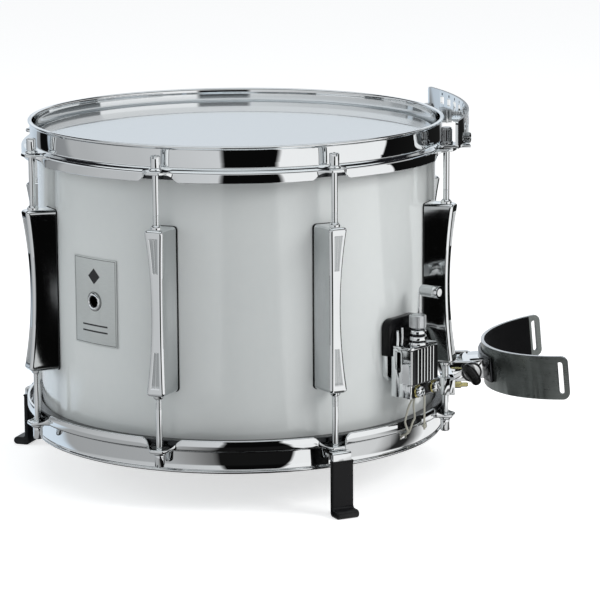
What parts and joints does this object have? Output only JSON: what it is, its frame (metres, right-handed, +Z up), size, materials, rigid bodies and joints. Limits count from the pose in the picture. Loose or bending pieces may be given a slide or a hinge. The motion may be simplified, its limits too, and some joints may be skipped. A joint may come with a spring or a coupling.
{
  "type": "marching snare drum",
  "caption": "Deep marching snare drum: lugs, tension rods, throw-off snare strainer, carrier plate, curved leg rest and feet, in white and chrome.",
  "frame": {"origin": "centre of the batter head's playing surface", "axes": "+Z up, out of the batter head; +X towards the player's side, where the carrier plate and the leg rest are; +Y completes the right-handed frame"},
  "size_m": [0.4977, 0.4162, 0.3255],
  "materials": {
    "white_lacquer": "gloss white lacquer",
    "chrome": "polished chrome plate",
    "coated_film": "matt sprayed coating",
    "black_plastic": "satin black",
    "rubber": "matt",
    "foam_pad": "closed foam",
    "satin_grey": "satin anodised",
    "brass": "polished",
    "cord": "braided",
    "badge_metal": "brushed"
  },
  "bodies": {
    "drum": {"shell": "white_lacquer", "batter_head": "coated_film", "batter_hoop": "chrome", "snare_head": "coated_film", "snare_hoop": "chrome", "lug_1": "chrome", "lug_2": "chrome", "lug_3": "chrome", "lug_4": "chrome", "lug_5": "chrome", "lug_6": "chrome", "lug_7": "chrome", "lug_8": "chrome", "batter_rod_4": "chrome", "batter_rod_5": "chrome", "badge": "badge_metal", "vent_grommet": "chrome", "strainer_base": "black_plastic", "strainer_housing": "chrome", "snare_wires": "chrome", "butt_block": "chrome", "butt_cord": "cord", "carrier_plate_front": "chrome", "carrier_plate_rear": "chrome", "carrier_bracket_front": "chrome", "carrier_bracket_rear": "chrome", "leg_rest_bracket": "chrome", "foot_1": "rubber", "foot_2": "rubber", "foot_3": "rubber"},
    "batter_rod_1": {"batter_rod_1": "chrome"},
    "batter_rod_2": {"batter_rod_2": "chrome"},
    "batter_rod_3": {"batter_rod_3": "chrome"},
    "batter_rod_6": {"batter_rod_6": "chrome"},
    "batter_rod_7": {"batter_rod_7": "chrome"},
    "batter_rod_8": {"batter_rod_8": "chrome"},
    "snare_rod_1": {"snare_rod_1": "chrome"},
    "snare_rod_2": {"snare_rod_2": "chrome"},
    "snare_rod_3": {"snare_rod_3": "chrome"},
    "snare_rod_4": {"snare_rod_4": "chrome"},
    "snare_rod_5": {"snare_rod_5": "chrome"},
    "snare_rod_6": {"snare_rod_6": "chrome"},
    "snare_rod_7": {"snare_rod_7": "chrome"},
    "snare_rod_8": {"snare_rod_8": "chrome"},
    "carrier_nut_front": {"carrier_nut_front": "chrome"},
    "carrier_nut_rear": {"carrier_nut_rear": "chrome"},
    "leg_rest_screw_front": {"leg_rest_screw_front": "brass"},
    "leg_rest_screw_rear": {"leg_rest_screw_rear": "brass"},
    "tension_knob": {"strainer_knob": "chrome"},
    "throw_lever": {"strainer_lever": "chrome"},
    "carriage": {"strainer_carriage": "chrome", "cord_clamp": "chrome", "strainer_cord": "cord", "cord_tail": "cord"},
    "clamp_screw_1": {"cord_clamp_screw_1": "brass"},
    "clamp_screw_2": {"cord_clamp_screw_2": "brass"},
    "leg_rest": {"leg_rest_block": "black_plastic", "leg_rest": "satin_grey", "leg_rest_pad": "foam_pad"},
    "clamp_lever": {"leg_rest_lever": "black_plastic"}
  },
  "joints": [
    {"name": "batter_rod_1_turn", "type": "hinge", "parent": "drum", "child": "batter_rod_1", "pos_m": [-0.18016, -0.07462, 0], "axis": [0, 0, 1], "continuous": true},
    {"name": "batter_rod_2_turn", "type": "hinge", "parent": "drum", "child": "batter_rod_2", "pos_m": [-0.07462, -0.18016, 0], "axis": [0, 0, 1], "continuous": true},
    {"name": "batter_rod_3_turn", "type": "hinge", "parent": "drum", "child": "batter_rod_3", "pos_m": [0.07462, -0.18016, 0], "axis": [0, 0, 1], "continuous": true},
    {"name": "batter_rod_6_turn", "type": "hinge", "parent": "drum", "child": "batter_rod_6", "pos_m": [0.07462, 0.18016, 0], "axis": [0, 0, 1], "continuous": true},
    {"name": "batter_rod_7_turn", "type": "hinge", "parent": "drum", "child": "batter_rod_7", "pos_m": [-0.07462, 0.18016, 0], "axis": [0, 0, 1], "continuous": true},
    {"name": "batter_rod_8_turn", "type": "hinge", "parent": "drum", "child": "batter_rod_8", "pos_m": [-0.18016, 0.07462, 0], "axis": [0, 0, 1], "continuous": true},
    {"name": "snare_rod_1_turn", "type": "hinge", "parent": "drum", "child": "snare_rod_1", "pos_m": [-0.18016, -0.07462, 0], "axis": [0, 0, 1], "continuous": true},
    {"name": "snare_rod_2_turn", "type": "hinge", "parent": "drum", "child": "snare_rod_2", "pos_m": [-0.07462, -0.18016, 0], "axis": [0, 0, 1], "continuous": true},
    {"name": "snare_rod_3_turn", "type": "hinge", "parent": "drum", "child": "snare_rod_3", "pos_m": [0.07462, -0.18016, 0], "axis": [0, 0, 1], "continuous": true},
    {"name": "snare_rod_4_turn", "type": "hinge", "parent": "drum", "child": "snare_rod_4", "pos_m": [0.18016, -0.07462, 0], "axis": [0, 0, 1], "continuous": true},
    {"name": "snare_rod_5_turn", "type": "hinge", "parent": "drum", "child": "snare_rod_5", "pos_m": [0.18016, 0.07462, 0], "axis": [0, 0, 1], "continuous": true},
    {"name": "snare_rod_6_turn", "type": "hinge", "parent": "drum", "child": "snare_rod_6", "pos_m": [0.07462, 0.18016, 0], "axis": [0, 0, 1], "continuous": true},
    {"name": "snare_rod_7_turn", "type": "hinge", "parent": "drum", "child": "snare_rod_7", "pos_m": [-0.07462, 0.18016, 0], "axis": [0, 0, 1], "continuous": true},
    {"name": "snare_rod_8_turn", "type": "hinge", "parent": "drum", "child": "snare_rod_8", "pos_m": [-0.18016, 0.07462, 0], "axis": [0, 0, 1], "continuous": true},
    {"name": "carrier_nut_front_turn", "type": "hinge", "parent": "drum", "child": "carrier_nut_front", "pos_m": [0.18016, -0.07462, 0], "axis": [0, 0, 1], "continuous": true},
    {"name": "carrier_nut_rear_turn", "type": "hinge", "parent": "drum", "child": "carrier_nut_rear", "pos_m": [0.18016, 0.07462, 0], "axis": [0, 0, 1], "continuous": true},
    {"name": "leg_rest_screw_front_turn", "type": "hinge", "parent": "drum", "child": "leg_rest_screw_front", "pos_m": [0.19, -0.07462, -0.22085], "axis": [1, 0, 0], "continuous": true},
    {"name": "leg_rest_screw_rear_turn", "type": "hinge", "parent": "drum", "child": "leg_rest_screw_rear", "pos_m": [0.19, 0.07462, -0.22085], "axis": [1, 0, 0], "continuous": true},
    {"name": "tension_knob_turn", "type": "hinge", "parent": "drum", "child": "tension_knob", "pos_m": [0.14981, -0.13023, -0.15], "axis": [0, 0, 1], "continuous": true},
    {"name": "throw_lever_swing", "type": "hinge", "parent": "drum", "child": "throw_lever", "pos_m": [0.15127, -0.1156, -0.157], "axis": [0.7547, -0.6561, 0], "range_deg": [-85, 0]},
    {"name": "carriage_drop", "type": "slide", "parent": "drum", "child": "carriage", "axis": [0, 0, 1], "range_m": [-0.006, 0], "deforming": ["strainer_cord"]},
    {"name": "clamp_screw_1_turn", "type": "hinge", "parent": "carriage", "child": "clamp_screw_1", "pos_m": [0.14684, -0.14355, -0.20915], "axis": [0.7547, -0.6561, 0], "continuous": true},
    {"name": "clamp_screw_2_turn", "type": "hinge", "parent": "carriage", "child": "clamp_screw_2", "pos_m": [0.16259, -0.12544, -0.20915], "axis": [0.7547, -0.6561, 0], "continuous": true},
    {"name": "leg_rest_tilt", "type": "hinge", "parent": "drum", "child": "leg_rest", "pos_m": [0.2095, 0, -0.22085], "axis": [0, 1, 0], "range_deg": [-35, 35]},
    {"name": "clamp_lever_turn", "type": "hinge", "parent": "drum", "child": "clamp_lever", "pos_m": [0.2095, 0, -0.22085], "axis": [0, 1, 0], "range_deg": [-100, 0]}
  ],
  "couplings": [
    {"joint": "carriage_drop", "follows": "throw_lever_swing", "m_per_rad": 0.00404}
  ]
}
